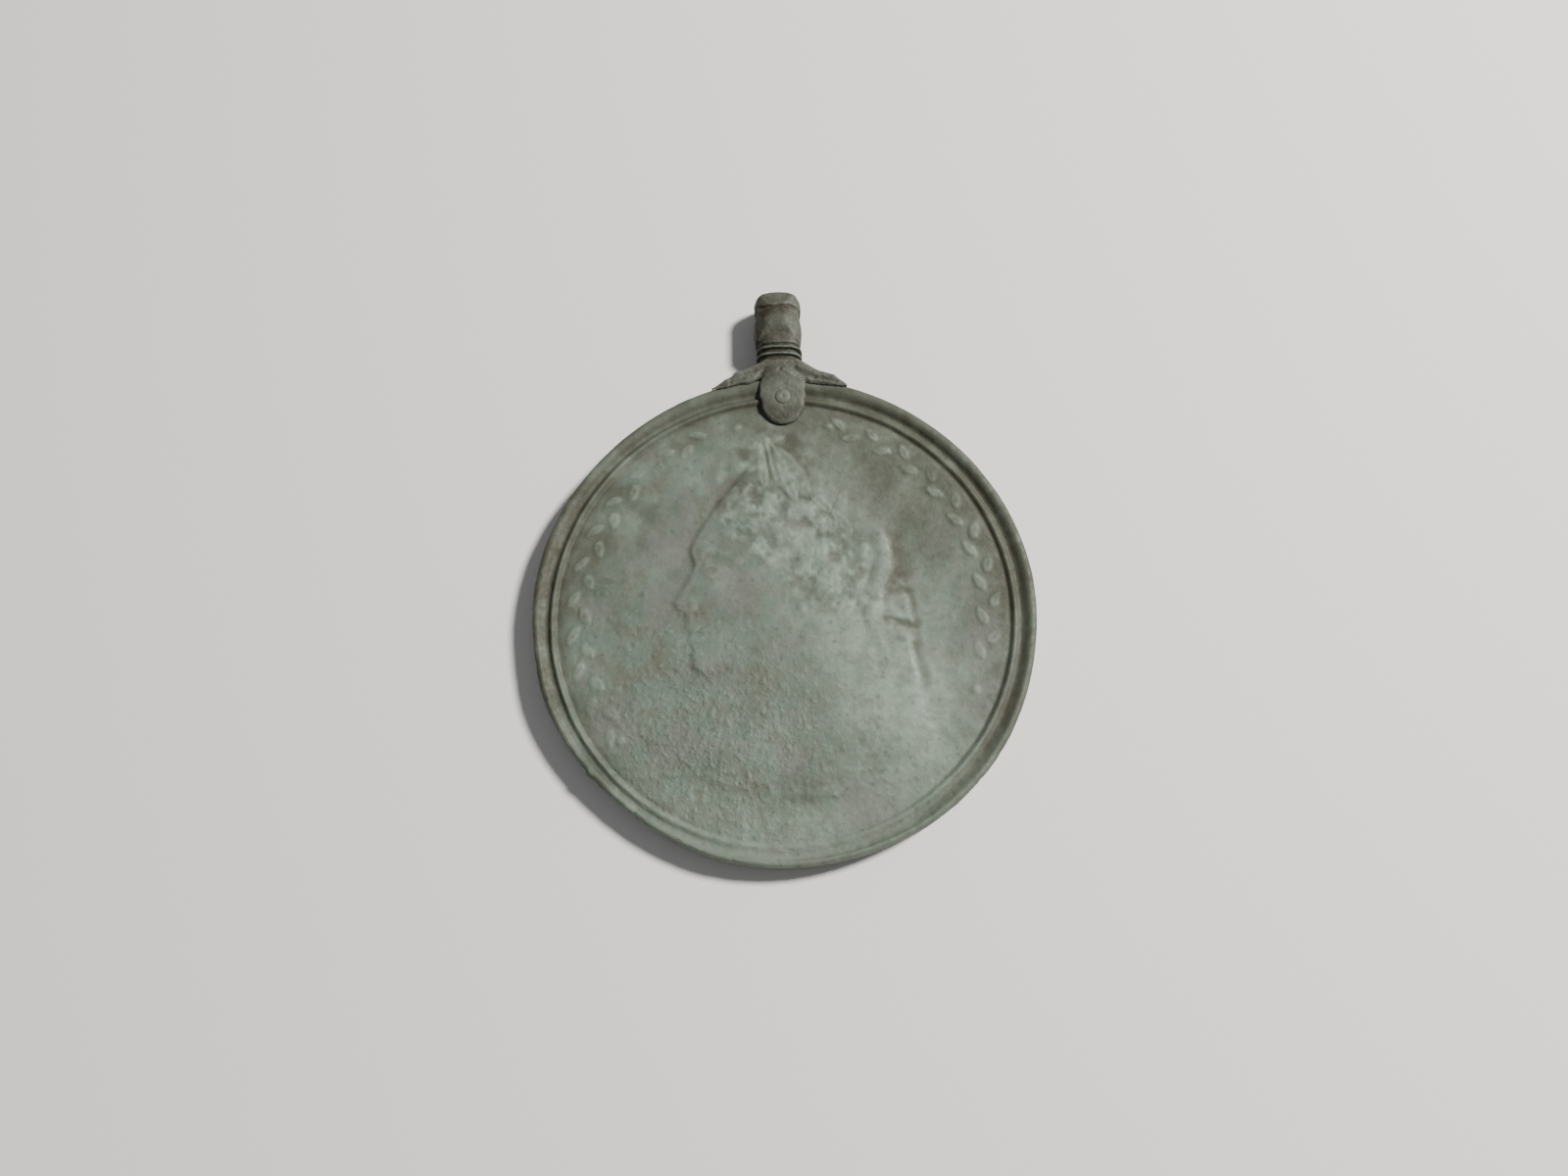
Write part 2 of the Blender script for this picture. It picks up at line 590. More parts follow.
def ring_faces(start_a, count_a, start_b, count_b):
    """Faces between two rings, one of which may have half the points, as rows of four."""
    if count_a == count_b:
        k = np.arange(count_a)
        n = (k + 1) % count_a
        return np.stack([start_a + k, start_b + k, start_b + n, start_a + n], axis=1)
    k = np.arange(min(count_a, count_b))
    n = (k + 1) % len(k)
    many, few = (start_a, start_b) if count_a > count_b else (start_b, start_a)
    after = (2 * k + 2) % (2 * len(k))
    faces = np.concatenate([np.stack(fan, axis=1) for fan in (
        (few + k, many + 2 * k, many + 2 * k + 1), (few + k, many + 2 * k + 1, few + n),
        (few + n, many + 2 * k + 1, many + after))])
    if count_a > count_b:
        faces = faces[:, ::-1]
    return np.concatenate([faces, faces[:, 2:]], axis=1)


def closing_faces(middle, start, count, upwards):
    """A fan of triangles from a ring to its middle point, as rows of four."""
    k = np.arange(count)
    n = (k + 1) % count
    first, second = (k, n) if upwards else (n, k)
    fan = np.stack([np.full(count, middle), start + first, start + second], axis=1)
    return np.concatenate([fan, fan[:, 2:]], axis=1)


def turned_mesh(centre, rings, first_z, last_z):
    """A closed surface through level rings, from one middle point to another."""
    points, faces = [], []
    total = 0
    for i, (radius, height, count) in enumerate(rings):
        turn = np.arange(count) * 2 * np.pi / count
        points.append(np.stack([centre[0] + radius * np.cos(turn), centre[1] + radius * np.sin(turn),
                                np.full(count, height)], axis=1))
        if i + 1 < len(rings):
            faces.append(ring_faces(total, count, total + count, rings[i + 1][2]))
        total += count
    points.append(np.array([[*centre, first_z], [*centre, last_z]]))
    faces.append(closing_faces(total, 0, rings[0][2], True))
    faces.append(closing_faces(total + 1, total - rings[-1][2], rings[-1][2], False))
    return np.concatenate(points), np.concatenate(faces)


def age_disc(points):
    """The disc's plain surface, with its relief and its wear."""
    radius = np.linalg.norm(points[:, :2], axis=1)
    clock = clock_of(points)
    front = points[:, 2] > MID_Z
    out = np.where(front, 1, -1)
    face = front & (radius < FIELD_R)
    flat = points[:, :2]
    aged = points.copy()
    aged[face, 2] += bust_height(flat[face]) + border_height(flat[face])
    # The field's slow waves, and rings that sit a little off centre
    on_rim = smooth(FIELD_R, FIELD_R + 0.6, radius)
    wave = 0.06 * octaves(flat, 6, 41) * (1 - on_rim) * smooth(FIELD_R, FIELD_R - 2, radius)
    aged[:, 2] += wave * out
    low_bead = arc(clock, 178, 62) * front
    flattened = 0.17 * low_bead + 0.06 * arc(clock, 50, 60) * front
    aged[:, 2] -= flattened * bump(radius - BEAD_R, BEAD_W)
    filled = np.maximum(0.1 * low_bead, 0.11 * arc(clock, 228, 38) * front)
    aged[:, 2] += filled * bump(radius - GROOVE_R - 0.03, 0.42)
    shift = RING_SHIFT * smooth(17, 19.8, radius) * smooth(22.2, 21.5, radius) * front
    uneven = smooth(18.5, 20, radius) * smooth(22.3, 21.6, radius)
    shift = shift + 0.08 * octaves(flat, 5, 45) * uneven
    aged[:, :2] += shift[:, None] * on_clock(RING_SHIFT_CLOCK, 1)
    # Wear of the edge, with a small burr at the lower left
    inward = 0.035 + 0.035 * octaves(points, 2.4, 43) + 0.02 * octaves(points, 0.9, 49)
    for middle, span, depth in EDGE_WEAR:
        inward += depth * arc(clock, middle, span)
    inward -= 0.2 * arc(clock, 229.5, 1.8) * smooth(1.4, 2.2, points[:, 2])
    shrink = 1 - np.maximum(inward, -0.2) / DISC_R * smooth(21, DISC_R - 0.3, radius)
    aged[:, :2] *= shrink[:, None]
    lower = 0.02 + 0.04 * octaves(points, 1.6, 47) + 0.05 * arc(clock, 220, 40)
    aged[:, 2] -= out * unit(lower) * on_rim
    return aged


def roughened(points, faces, amount, stipple, zone):
    """The points pushed in by fine grain, and by pits where zone is above 0."""
    normals = normals_of(points, faces)
    grain = 0.5 + 0.5 * octaves(points, 0.6, 61)
    fine = 0.5 + 0.5 * noise(points, 0.24, 67)
    dents = np.maximum(pits(points, 1.25, 71, 0.5), 0.75 * pits(points, 0.62, 79, 0.75))
    lumps = pits(points, 0.74, 101, 0.8)
    push = amount * (0.6 * grain + 0.4 * fine) + stipple * (dents - 0.7 * lumps + 0.3) * zone
    return points - normals * push[:, None], dents * unit(zone)


# The suspender, as a distance field in medal millimetres

def soft_min(a, b, blend):
    mix = unit(0.5 + 0.5 * (b - a) / blend)
    return b * (1 - mix) + a * mix - blend * mix * (1 - mix)


def soft_max(a, b, blend):
    return -soft_min(-a, -b, blend)


def box_field(offsets, half_sizes, round_r):
    """Distance to a box with rounded edges, from its middle."""
    q = [np.abs(offset) - (half - round_r) for offset, half in zip(offsets, half_sizes)]
    outside = np.sqrt(sum(np.maximum(part, 0) ** 2 for part in q))
    inside = np.minimum(np.maximum.reduce(q), 0)
    return outside + inside - round_r


def capsule_field(x, y, start, end, start_r, end_r):
    """Distance to a tapering capsule that stands upright."""
    step = np.array(end) - np.array(start)
    t = unit(((x - start[0]) * step[0] + (y - start[1]) * step[1]) / (step @ step))
    distance = np.hypot(x - start[0] - t * step[0], y - start[1] - t * step[1])
    return distance - (start_r + t * (end_r - start_r))


LOOP_SHIFT = 0.05
LOOP_TOP_R, LOOP_FOOT_R = 2.3, 0.6
LOOP_LOWER_R = 6.5
LOOP_PLAN_R = 3.3
LOOP_LINE_UP = 0.66
NECK_SHIFT = 0.06
NECK_R = 1.74
NECK_GROOVES = [
    # y, half width, depth
    (25.16, 0.22, 0.16), (25.84, 0.2, 0.16), (24.42, 0.3, 0.144),
]
COLLARS_Y = (25.5, 24.8)
COLLAR_R = 0.17
TONGUE_TOP, TONGUE_TOP_R = (0.3, 21.28), 2.27
TONGUE_END, TONGUE_END_R = (0.36, 19.8), 2.07
RIM_INNER_R = 21.2


def loop_field(x, y, z):
    """The loop: a barrel with a sideways hole and a worn line across its front."""
    up = y - LOOP_Y
    across = x + LOOP_SHIFT
    round_r = np.where(up > 0, LOOP_TOP_R, LOOP_FOOT_R)
    level = np.where(up > 0, up, 0.93 * up)
    front = box_field((across, level), (LOOP_W / 2 + 0.07, LOOP_H / 2 + 0.06), round_r)
    taper = np.abs(across) - 2.48 + 0.28 * smooth(-0.8, -3, up)
    bulge_r = np.where(up > 0, LOOP_BACK_R, LOOP_LOWER_R)
    bulge = np.hypot(up, np.abs(z) + bulge_r - LOOP_T / 2) - bulge_r
    side = soft_max(bulge, np.abs(level) - LOOP_H / 2 - 0.04, 0.5)
    plan = np.hypot(across, np.abs(z) + LOOP_PLAN_R - LOOP_T / 2) - LOOP_PLAN_R
    body = soft_max(soft_max(front, taper, 0.3), np.maximum(side, plan), 0.5)
    rounded = ((np.abs(across) / 2.46) ** 3 + (np.maximum(up, 0) / 2.96) ** 3
               + (np.abs(z) / 2.08) ** 3) ** (1 / 3)
    body = soft_max(body, 2.2 * (rounded - 1), 0.2)
    hole = HOLE_R + 0.02 - np.hypot(up, z)
    mouth = 0.12 * smooth(LOOP_W / 2 - 0.6, LOOP_W / 2, np.abs(x))
    body = soft_max(body, hole + mouth, 0.25)
    line_up = LOOP_LINE_UP + 0.05 * np.sin(2.3 * x) + 0.05 * np.sin(6.1 * x + 1)
    raised = smooth(0.3, 1.2, z)
    line = bump(up - line_up, 0.26) * raised * smooth(2.2, 1.6, np.abs(x))
    band = bump(up - line_up + 0.5, 0.62) * raised * smooth(2.3, 1.5, np.abs(x))
    return body + 0.16 * line + 0.07 * band


def neck_field(x, y, z):
    """The neck, with two thin collars."""
    radius = (np.abs((x - NECK_SHIFT) / 1.15) ** 3.2 + np.abs(z) ** 3.2) ** (1 / 3.2)
    result = np.maximum(radius - NECK_R, np.abs(y - 24.9) - 2.2)
    for middle, width, depth in NECK_GROOVES:
        result = result + depth * bump(y - middle, width)
    for middle in COLLARS_Y:
        bend = 0.05 * (x / 1.8) ** 2
        collar = np.hypot(np.maximum(radius - NECK_R - 0.03, 0), y - middle + bend) - COLLAR_R
        result = soft_min(result, collar, 0.05)
    return result


def tongue_field(x, y, z):
    """Both tongues as one rounded plate that narrows to a round end."""
    lumpy = 0.03 * np.sin(2.9 * x + 1.1) * np.sin(2.4 * y) + 0.03 * np.sin(5.1 * y + 0.6)
    outline = capsule_field(x, y, TONGUE_TOP, TONGUE_END, TONGUE_TOP_R, TONGUE_END_R) + lumpy
    dome = 0.17 * ((x - 0.3) ** 2 / 5.2 + np.maximum(y - 21.2, 0) ** 2 / 12)
    slope = 0.46 * smooth(20.1, 17.8, y) ** 1.3
    dents = 0.05 * bump(np.hypot(x + 0.9, y - 19.1), 0.8)
    dents += 0.05 * bump(np.hypot(x - 1.2, y - 18.9), 0.7)
    ridge = 0.05 * bump(capsule_field(x, y, (0.4, 23.25), (2.1, 22.1), 0, 0), 0.3)
    plate = np.abs(z) - (MID_Z + TONGUE_PROUD - 0.03 - dome - slope - dents + ridge)
    return soft_max(outline, plate, 0.4)


ARM_STRANDS = [
    # points along each strand: x, y, size
    [(-1.1, 23.75, 0.6), (-2.1, 23, 0.8), (-3, 22.55, 0.84), (-3.7, 22.5, 0.74)],
    [(-3.7, 22.4, 0.66), (-4.9, 21.9, 0.5), (-6.2, 21.3, 0.28)],
    [(1.6, 23.75, 0.66), (2.5, 23.15, 0.66), (3.5, 22.6, 0.56), (5, 22.2, 0.48), (6.2, 21.5, 0.28)],
    [(0.9, 23, 0.5), (1.9, 22.4, 0.5), (2.7, 22.1, 0.5), (5, 21.75, 0.4), (6, 21.4, 0.26)],
]
ARM_CREASES = [
    # start x, y, end x, y, depth, half width
    (-4.35, 22.9, -4.5, 22, 0.07, 0.3), (-3.3, 22.25, -5.6, 21.65, 0.06, 0.26),
    (-1.2, 23.4, -3.2, 22.85, 0.04, 0.3), (1.6, 23.3, 3.4, 22.3, 0.08, 0.34),
    (3.4, 22.3, 5.4, 21.9, 0.07, 0.3),
]


def arms_field(x, y, z):
    """Scroll arms along the top of the rim, each a row of rounded strands."""
    flat = np.full(x.shape, 9.0)
    for strand in ARM_STRANDS:
        for (*start, start_r), (*end, end_r) in zip(strand, strand[1:]):
            flat = soft_min(flat, capsule_field(x, y, start, end, start_r, end_r), 0.1)
    creases = np.zeros(x.shape)
    for x0, y0, x1, y1, depth, width in ARM_CREASES:
        creases += depth * bump(capsule_field(x, y, (x0, y0), (x1, y1), 0, 0), width)
    flat = soft_max(flat, 21.75 - np.hypot(x, y), 0.12)
    boss = np.hypot(x - TONGUE_TOP[0], y - TONGUE_TOP[1]) - 2.4
    creases += (0.16 - 0.1 * smooth(-0.4, 0.8, x)) * bump(boss, 0.3)
    creases += 0.2 * bump(np.hypot(x, y) - 21.7, 0.7)
    half_t = MID_Z + ARM_PROUD - 0.02 - creases * (z > 0)
    thin = 0.16 * smooth(4.4, 6.3, np.abs(x))
    return soft_max(flat, np.abs(z) - half_t + thin, 0.4)


def disc_room(x, y, z):
    """Negative in the room that the disc takes, a little grown."""
    radius = np.hypot(x, y)
    across = np.maximum(radius - RIM_INNER_R, 0)
    rim = box_field((across, z), (DISC_R - RIM_INNER_R, MID_Z), ROLL_R)
    rim = np.where(radius < RIM_INNER_R, 9.0, rim)
    field = np.maximum(radius - (DISC_R - 0.5), np.abs(z) - (MID_Z - FIELD_SINK))
    return np.minimum(rim, field) - 0.03


def suspender_field(x, y, z):
    result = soft_min(loop_field(x, y, z), neck_field(x, y, z), 0.1)
    result = soft_min(result, arms_field(x, y, z), 0.14)
    result = soft_min(result, tongue_field(x, y, z), 0.08)
    raised = smooth(0.8, 1.5, z)
    pit = 0.08 * bump(np.hypot(x - 0.16, y - 23.15), 0.26) * raised
    ring = 0.02 * bump(np.hypot(x - RIVET_XY[0], y - RIVET_XY[1]) - 0.72, 0.15) * raised
    result = result + pit + ring
    return np.maximum(result, -disc_room(x, y, z))


def cells_round(edges, axis):
    """The four cells round each edge of the grid that runs along an axis."""
    units = np.eye(3, dtype=int)
    u, v = units[(axis + 1) % 3], units[(axis + 2) % 3]
    return [edges - du * u - dv * v for du, dv in ((1, 1), (0, 1), (0, 0), (1, 0))]


def surface_net(field, origin, step):
    """Points and quads on the zero level of a field on a regular grid."""
    cells = tuple(n - 1 for n in field.shape)
    total = np.zeros(cells + (3,))
    count = np.zeros(cells)
    crossings = []
    for axis in range(3):
        edges = np.argwhere(np.diff(field < 0, axis=axis))
        ahead = edges.copy()
        ahead[:, axis] += 1
        f0, f1 = field[tuple(edges.T)], field[tuple(ahead.T)]
        spots = edges.astype(float)
        spots[:, axis] += f0 / (f0 - f1)
        crossings.append((axis, edges, f0 < 0))
        for cell in cells_round(edges, axis):
            np.add.at(total, tuple(cell.T), spots)
            np.add.at(count, tuple(cell.T), 1)
    used = count > 0
    index = np.full(cells, -1)
    index[used] = np.arange(used.sum())
    points = total[used] / count[used][:, None] * step + origin
    faces = []
    for axis, edges, leaving in crossings:
        quads = np.stack([index[tuple(cell.T)] for cell in cells_round(edges, axis)], axis=1)
        quads[~leaving] = quads[~leaving][:, ::-1]
        faces.append(quads)
    return points, np.concatenate(faces)


def suspender_mesh(step):
    """The suspender's surface; its field stays clear of the sides of this grid."""
    low, high = np.array([-6.9, 17, -2.2]), np.array([6.9, 32.2, 2.2])
    axes = [np.arange(low[a], high[a] + step, step) for a in range(3)]
    field = suspender_field(*np.meshgrid(*axes, indexing="ij"))
    points, faces = surface_net(field, low, step)
    points[:, 2] += MID_Z
    for _ in range(2):
        points = 0.5 * points + 0.5 * smoothed(points, faces, 1)
    return points, faces


# The rivet, turned round its axis

HEAD_R = 0.82
SHANK_R = 0.6
HEAD_DEPTH = 0.5
RIVET_COUNT = 56


def rivet_mesh():
    front_z = RIM_T + TONGUE_PROUD
    crest = front_z + HEAD_PROUD - 0.05
    section = [
        # radius, height
        (0.08, crest - 0.07), (0.19, crest - 0.03), (0.3, crest - 0.02),
        *[(r, crest - 0.02 - 0.05 * (r / 0.6) ** 2) for r in (0.4, 0.5, 0.6)],
        (0.7, front_z - 0.07), (HEAD_R - 0.01, front_z - 0.2), (SHANK_R, front_z - HEAD_DEPTH),
        (SHANK_R, HEAD_DEPTH - TONGUE_PROUD), (HEAD_R - 0.01, 0.03 - TONGUE_PROUD),
        (0.7, -TONGUE_PROUD), (0.35, -TONGUE_PROUD - 0.02),
    ]
    rings = [(radius, height, RIVET_COUNT) for radius, height in section]
    return turned_mesh(RIVET_XY, rings, crest - 0.08, -TONGUE_PROUD - 0.02)


# Materials

MIX_FACTOR, MIX_BASE, MIX_COLOUR, MIX_RESULT = 0, 6, 7, 2


def new_material(name):
    material = bpy.data.materials.new(name)
    material.use_nodes = True
    material.node_tree.nodes.clear()
    return material, material.node_tree


def add_node(tree, kind, output, inputs, settings=()):
    """A new node's output. Each input is a constant or another node's output."""
    node = tree.nodes.new(kind)
    for name, value in settings:
        setattr(node, name, value)
    for name, source in inputs.items():
        if isinstance(source, bpy.types.NodeSocket):
            tree.links.new(source, node.inputs[name])
        else:
            node.inputs[name].default_value = source
    return node.outputs[output]


def add_shader(tree, inputs):
    """The material's one shader, linked to its output."""
    shader = add_node(tree, "ShaderNodeBsdfPrincipled", "BSDF", inputs)
    tree.links.new(shader, tree.nodes.new("ShaderNodeOutputMaterial").inputs["Surface"])


def noise_node(tree, coords, scale, detail, roughness, offset):
    """Noise over the object's own coordinates; scale is in lumps a metre."""
    shift = add_node(tree, "ShaderNodeMapping", "Vector", {
        "Vector": coords, "Location": (offset, 0.7 * offset, 0.3 * offset)})
    return add_node(tree, "ShaderNodeTexNoise", "Fac", {
        "Vector": shift, "Scale": scale, "Detail": detail, "Roughness": roughness})


def ramp_node(tree, source, low, high, low_value, high_value):
    """Maps a range of a value onto another range, smoothly."""
    return add_node(tree, "ShaderNodeMapRange", "Result", {
        "Value": source, "From Min": low, "From Max": high, "To Min": low_value,
        "To Max": high_value}, [("interpolation_type", "SMOOTHSTEP")])


def math_node(tree, operation, first, second):
    inputs = {0: first, 1: second}
    return add_node(tree, "ShaderNodeMath", "Value", inputs, [("operation", operation)])


def mix_colour(tree, base, colour, factor):
    """Lays a colour over a base, as far as the factor says."""
    return add_node(tree, "ShaderNodeMix", MIX_RESULT, {
        MIX_FACTOR: factor, MIX_BASE: base, MIX_COLOUR: (*colour, 1)}, [("data_type", "RGBA")])


NOISES = {
    # name: lumps a metre, detail, roughness, offset
    "cloud": (150, 4, 0.6, 0.0), "mottle": (480, 6, 0.68, 0.31), "blotch": (330, 5, 0.62, 0.77),
    "tint": (210, 4, 0.6, 0.47), "fleck": (820, 4, 0.6, 0.91), "speck": (1500, 5, 0.66, 0.13),
    "grain": (5200, 3, 0.6, 0.53), "bead": (1500, 3, 0.5, 0.37),
}
LAYERS = [
    # colour, its mark, its noise, range of the noise and how much colour at each end
    ("cool", None, "mottle", (0.42, 0.58, 0, 0.85)), ("warm", None, "blotch", (0.48, 0.66, 0, 0.75)),
    ("mauve", None, "tint", (0.48, 0.64, 0, 0.7)), ("dark", None, "cloud", (0.5, 0.68, 0, 0.45)),
    ("dark", "shade", "mottle", (0.34, 0.6, 0.6, 1)), ("pale", "pale", "fleck", (0.3, 0.7, 0.4, 0.9)),
    ("dark", None, "speck", (0.55, 0.74, 0, 0.5)), ("grime", "dirt", "mottle", (0.3, 0.58, 0.5, 1)),
]


def marked(tree, mark, weight):
    """A weight times one of the piece's marks."""
    value = add_node(tree, "ShaderNodeAttribute", "Fac", {}, [("attribute_name", mark)])
    return math_node(tree, "MULTIPLY", value, weight)


def worn_metal(name, colours):
    """Dull oxidised white metal: mottled grey, pale powder, brown dirt."""
    material, tree = new_material(name)
    coords = add_node(tree, "ShaderNodeTexCoord", "Object", {})
    noises = {key: noise_node(tree, coords, *row) for key, row in NOISES.items()}
    colour = (*colours["base"], 1)
    for layer, mark, key, ramp in LAYERS:
        weight = ramp_node(tree, noises[key], *ramp)
        if mark:
            weight = marked(tree, mark, weight)
        colour = mix_colour(tree, colour, colours[layer], weight)
    height = math_node(tree, "ADD", math_node(tree, "MULTIPLY", noises["speck"], 0.8),
                       math_node(tree, "MULTIPLY", noises["grain"], 0.4))
    grit = marked(tree, "grit", ramp_node(tree, noises["bead"], 0.42, 0.75, 0, 1.5))
    relief = add_node(tree, "ShaderNodeBump", "Normal", {
        "Strength": 0.6, "Distance": 0.00007, "Height": math_node(tree, "ADD", height, grit)})
    add_shader(tree, {
        "Base Color": colour, "Metallic": 0.2, "Specular IOR Level": 0.35, "Normal": relief,
        "Roughness": ramp_node(tree, noises["speck"], 0.35, 0.7, 0.58, 0.76)})
    return material


def plain_floor():
    material, tree = new_material("pale_floor")
    add_shader(tree, {"Base Color": (0.78, 0.76, 0.72, 1), "Roughness": 0.8})
    mesh = bpy.data.meshes.new("floor")
    half = 2
    corners = [(-half, -half), (half, -half), (half, half), (-half, half)]
    mesh.from_pydata([(*corner, 0) for corner in corners], [], [(0, 1, 2, 3)])
    mesh.materials.append(material)
    add_object("floor", mesh)


# Marks: where the surface is dirty, pale, shaded or gritty

POWDER_PATH = [
    # x, y, weight of the pale powder there
    (-0.5, 14, 0.35), (1.6, 9, 0.5), (4.6, 3.4, 0.6), (7, -1, 0.8),
    (9, -5, 0.95), (10.4, -8.6, 1), (11.2, -12.6, 0.7),
]
POWDER_WIDTH = 8
PALE_BLOBS = [
    # x, y, radius, weight
    (3, -2.5, 6, 0.25), (0.2, 12.2, 2.8, 0.5), (-1, -8.5, 8, 0.16),
]
SHADE_BLOBS = [
    # x, y, radius, weight, 1 where it is spotty
    (15, 15, 17, 0.95, 1), (-16.5, 8, 7, 0.4, 0), (0, 18.5, 7, 0.75, 0),
    (20, 2, 7, 0.25, 1), (-4, 6, 5.5, 0.3, 1), (0, 17.5, 8.5, 0.3, 0),
    (8.5, 14.5, 6, 0.45, 0), (-6, 16.2, 4.5, 0.4, 0),
]
SHADE_ARCS = [
    # middle by the clock, half span, radii where it starts and is full, weight
    (272, 45, 18.2, 20.6, 0.8), (60, 62, GROOVE_R, 21.9, 0.5), (128, 46, 20.3, 21.5, 0.55),
    (272, 34, 20.8, 21.3, 0.6),
]


def powder(flat):
    """Pale powder that runs from the wreath down to the lower right."""
    x, y, weight = zip(*POWDER_PATH)
    distance, along = curve_distance(flat, list(zip(x, y)))
    return np.interp(along, np.linspace(0, 1, len(x)), weight) * bump(distance, POWDER_WIDTH)


def disc_marks(points, faces, dents):
    """Dirt, pale powder, shade and grit at each point of the disc."""
    flat = points[:, :2]
    radius = np.linalg.norm(flat, axis=1)
    clock = clock_of(points)
    front = smooth(MID_Z, MID_Z + 0.4, points[:, 2])
    on_field = radius < FIELD_R
    hollow = hollows(points, faces, 6, 0.03)
    rubbed = rubbed_relief(flat)
    top = (0.5 + 0.5 * np.cos(np.radians(clock))) ** 0.7
    grimy = 0.1 + 0.9 * smooth(-0.85, 0.35, np.cos(np.radians(clock - 35)))
    hair = hair_zone(flat) * on_field * front
    hair *= 1 - 0.8 * smooth(0, 0.5, stroke(flat, BACK_ROLL, 1.7))
    lumps = octaves(flat, 1.15, 17, 3) + 0.5 * octaves(flat, 2.4, 107, 2)
    clouds = octaves(flat, 2.8, 113, 4) + 0.35 * octaves(flat, 0.9, 127, 2)
    clouds *= 1 + 0.9 * blob(flat, -9, 10, 13)
    spots = 1 + 0.4 * octaves(flat, 4.5, 89)

    # Brown dirt in the hollows, in the rim's groove, round the hair and the bow
    groove = 0.46 * bump(radius - GROOVE_R - 0.2, 0.55) * grimy
    groove += 0.35 * arc(clock, 272, 36) * smooth(20.7, 21.2, radius)
    groove += 0.3 * arc(clock, 128, 40) * bump(radius - 21.65, 0.55)
    edge = 0.3 * smooth(18.9, FILLET_R, radius) * smooth(BEAD_R + 0.1, FILLET_R, radius) * top
    kept = 0.14 + 0.28 * np.maximum(hair, smooth(18.8, FIELD_R, radius) * grimy)
    dirt = unit(hollow) * kept + groove + edge + 0.02 * dents
    dirt *= 0.8 + 0.5 * octaves(points, 1.8, 83)
    stroked = np.zeros(len(points))
    for corners, width, weight in GRIMY_STROKES:
        stroked = np.maximum(stroked, weight * stroke(flat, corners, width))
    for x, y, reach, weight in GRIMY_SPOTS:
        stroked = np.maximum(stroked, weight * blob(flat, x, y, reach))
    dirt = np.maximum(dirt, stroked * front * np.maximum(1 - smooth(0.2, 0.7, rubbed), 0.55))
    dirt += 0.34 * hair * unit(-1.6 * lumps - 0.2)

    # Pale powder, and the relief that is rubbed pale
    pale = powder(flat) * spots
    for x, y, reach, weight in PALE_BLOBS:
        pale += weight * blob(flat, x, y, reach)
    pale += 0.4 * unit(-hollow) * smooth(FIELD_R, 18.6, radius)
    pale += hair * np.clip(1.2 * lumps, -0.3, 0.7) + 0.45 * unit(clouds)
    pale += 0.45 * arc(clock, 182, 50) * smooth(15.5, 19, radius)
    pale *= 1 - 0.9 * blob(flat, 10.6, 3.3, 2)
    pale = np.maximum(pale, 0.85 * rubbed * on_field)

    # Darker tone at the top, the upper right and parts of the rim
    shade = 0.45 * smooth(18.6, 20.4, radius) * top
    for x, y, reach, weight, spotty in SHADE_BLOBS:
        shade += weight * blob(flat, x, y, reach) * (spots if spotty else 1)
    for middle, span, low, high, weight in SHADE_ARCS:
        shade += weight * arc(clock, middle, span) * smooth(low, high, radius)
    shade += 0.8 * arc(clock, 90, 42) * bump(radius - 19.6, 1.7)
    shade += 0.45 * unit(-clouds - 0.04)
    grit = (0.12 + blob(flat, -6.5, -12.5, 15)) * (radius < FIELD_R + 0.6)
    return {"dirt": unit(dirt), "pale": unit(pale) * front,
            "shade": unit(shade) * front + 0.25 * (1 - front), "grit": grit * front}


def suspender_marks(points, faces):
    """The same four marks on the suspender."""
    x, y, z = points.T
    flat = points[:, :2]
    hollow = hollows(points, faces, 10, 0.035)
    front = smooth(MID_Z + 1, MID_Z + 1.7, z)
    rubbed = blob(flat, 0.5, 21.3, 3.2) * front
    crack = bump(y - LOOP_Y - 0.15, 0.8) * smooth(MID_Z, MID_Z + 1.2, z)
    crack += 0.8 * bump(y - LOOP_Y - 0.45, 0.5) * smooth(2.2, 1.2, np.abs(x))
    foot = 1.3 * bump(y - 26.5, 1.6) + 1.7 * smooth(25.6, 26.6, y) * smooth(0, -2, x)
    uneven = 0.7 + 0.8 * octaves(points, 0.8, 97)
    dirt = unit(hollow) * 0.8 + (0.7 * crack + 0.55 * foot) * uneven
    patches = octaves(points, 1.5, 131, 3)
    pale = 0.24 * rubbed + 0.5 * unit(-hollow) + 0.5 * unit(patches)
    shade = 0.68 - 0.12 * rubbed + 0.35 * blob(flat, -0.4, 17.9, 1.6) * front
    shade += 0.7 * unit(-patches)
    return {"dirt": unit(dirt), "pale": unit(pale), "shade": unit(shade),
            "grit": np.full(len(points), 0.25)}


# Camera, light and surroundings

CAMERA_TARGET = (0.12, 2.17, 1.6)
CAMERA_AZIMUTH = -3.97
CAMERA_ELEVATION = 73.5
CAMERA_DISTANCE = 106
CAMERA_ROLL = -5.17
CAMERA_LENS = 27.03
LIGHT_CLOCK = 65
LIGHT_ELEVATION = 46
LIGHT_DISTANCE = 0.6
LIGHT_SIZE = 0.1
LIGHT_POWER = 7.6
LIGHT_COLOUR = (1.0, 0.985, 0.955)
SKY_COLOUR = (0.92, 0.95, 1.0, 1)
SKY_STRENGTH = 0.24


def direction_from(clock, elevation):
    """Unit vector towards a place in the sky, by its clock angle from the loop."""
    height = math.radians(elevation)
    return Vector((*on_clock(clock, math.cos(height)), math.sin(height)))


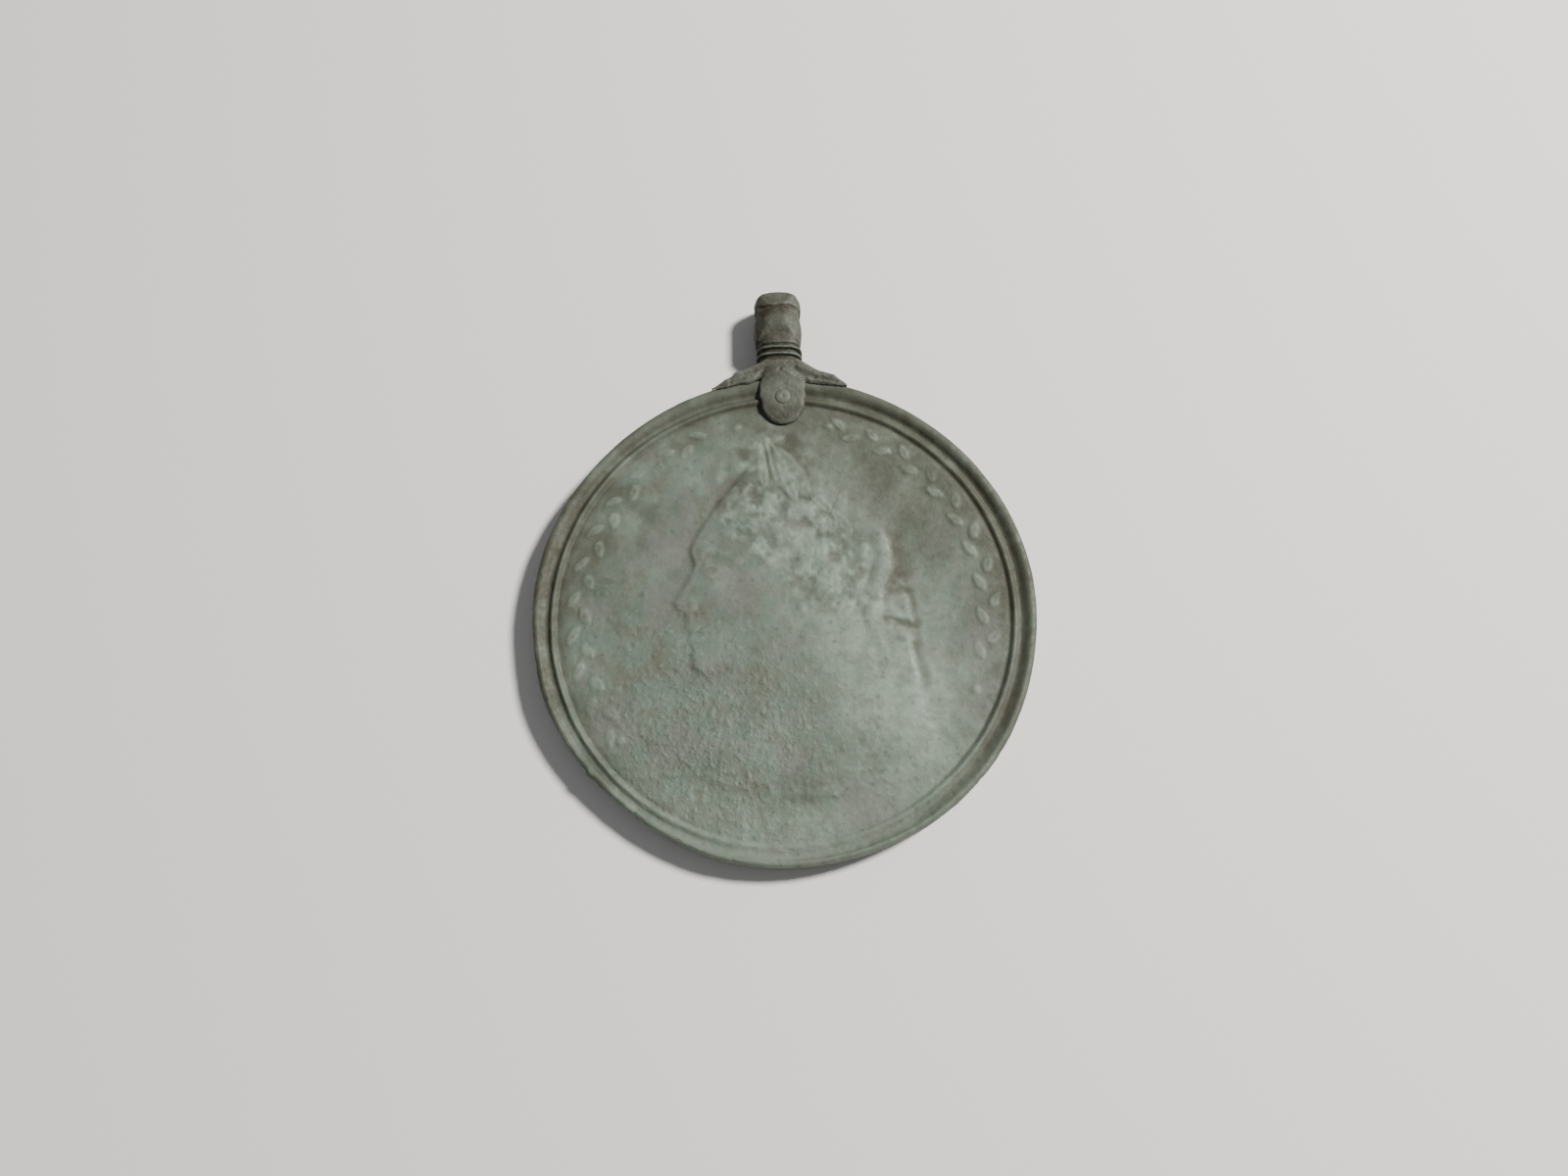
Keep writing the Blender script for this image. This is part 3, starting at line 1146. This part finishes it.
def add_camera():
    data = bpy.data.cameras.new("photo_camera")
    data.lens = CAMERA_LENS
    data.sensor_width = 36
    data.clip_start = 0.005
    forward = -direction_from(CAMERA_AZIMUTH + 180, CAMERA_ELEVATION)
    right = forward.cross(Vector((0, 0, 1))).normalized()
    pose = Matrix((right, right.cross(forward), -forward)).transposed().to_4x4()
    pose = pose @ Matrix.Rotation(math.radians(CAMERA_ROLL), 4, "Z")
    pose.translation = (Vector(CAMERA_TARGET) - forward * CAMERA_DISTANCE) * MM
    camera = add_object("photo_camera", data)
    camera.matrix_world = LAY @ pose
    bpy.context.scene.camera = camera


def add_surroundings():
    """One soft light from the upper right, and a dim, even sky."""
    world = bpy.data.worlds.new("studio")
    world.use_nodes = True
    background = world.node_tree.nodes["Background"]
    background.inputs["Color"].default_value = SKY_COLOUR
    background.inputs["Strength"].default_value = SKY_STRENGTH
    bpy.context.scene.world = world
    data = bpy.data.lights.new("key", "AREA")
    data.shape = "DISK"
    data.size = LIGHT_SIZE
    data.energy = LIGHT_POWER
    data.color = LIGHT_COLOUR
    light = add_object("key", data)
    towards = direction_from(LIGHT_CLOCK, LIGHT_ELEVATION)
    light.location = towards * LIGHT_DISTANCE
    light.rotation_euler = towards.to_track_quat("Z", "Y").to_euler()


# Putting it together

disc_metal = worn_metal("disc_metal", {
    "base": (0.121, 0.141, 0.111), "cool": (0.112, 0.152, 0.119), "warm": (0.103, 0.104, 0.075),
    "mauve": (0.135, 0.137, 0.121), "dark": (0.057, 0.062, 0.042), "pale": (0.229, 0.279, 0.222),
    "grime": (0.046, 0.037, 0.022)})
suspender_metal = worn_metal("suspender_metal", {
    "base": (0.092, 0.095, 0.071), "cool": (0.094, 0.108, 0.083), "warm": (0.088, 0.076, 0.052),
    "mauve": (0.098, 0.091, 0.074), "dark": (0.043, 0.042, 0.030), "pale": (0.160, 0.187, 0.156),
    "grime": (0.028, 0.021, 0.013)})

disc_points, disc_faces = turned_mesh((0, 0), disc_rings(), FIELD_Z, FIELD_SINK)
disc_points = age_disc(disc_points)
disc_flat = disc_points[:, :2]
pit_zone = 0.2 + 0.8 * smooth(0, -9, disc_flat[:, 1] + 0.5 * disc_flat[:, 0])
disc_points, disc_dents = roughened(disc_points, disc_faces, 0.03, 0.075, pit_zone)
make_piece("disc_body", "medal_disc", disc_points, disc_faces, disc_metal,
           disc_marks(disc_points, disc_faces, disc_dents))

claw_points, claw_faces = suspender_mesh(0.07)
claw_points, _ = roughened(claw_points, claw_faces, 0.06, 0.03, np.full(len(claw_points), 0.8))
make_piece("claw_and_loop", "suspender", claw_points, claw_faces,
           suspender_metal, suspender_marks(claw_points, claw_faces))

rivet_points, rivet_faces = rivet_mesh()
rivet_marks = {mark: np.full(len(rivet_points), weight)
               for mark, weight in (("dirt", 0), ("pale", 0.35), ("shade", 0.35), ("grit", 0))}
make_piece("rivet_pin", "rivet", rivet_points, rivet_faces, suspender_metal,
           rivet_marks)

plain_floor()
add_camera()
add_surroundings()
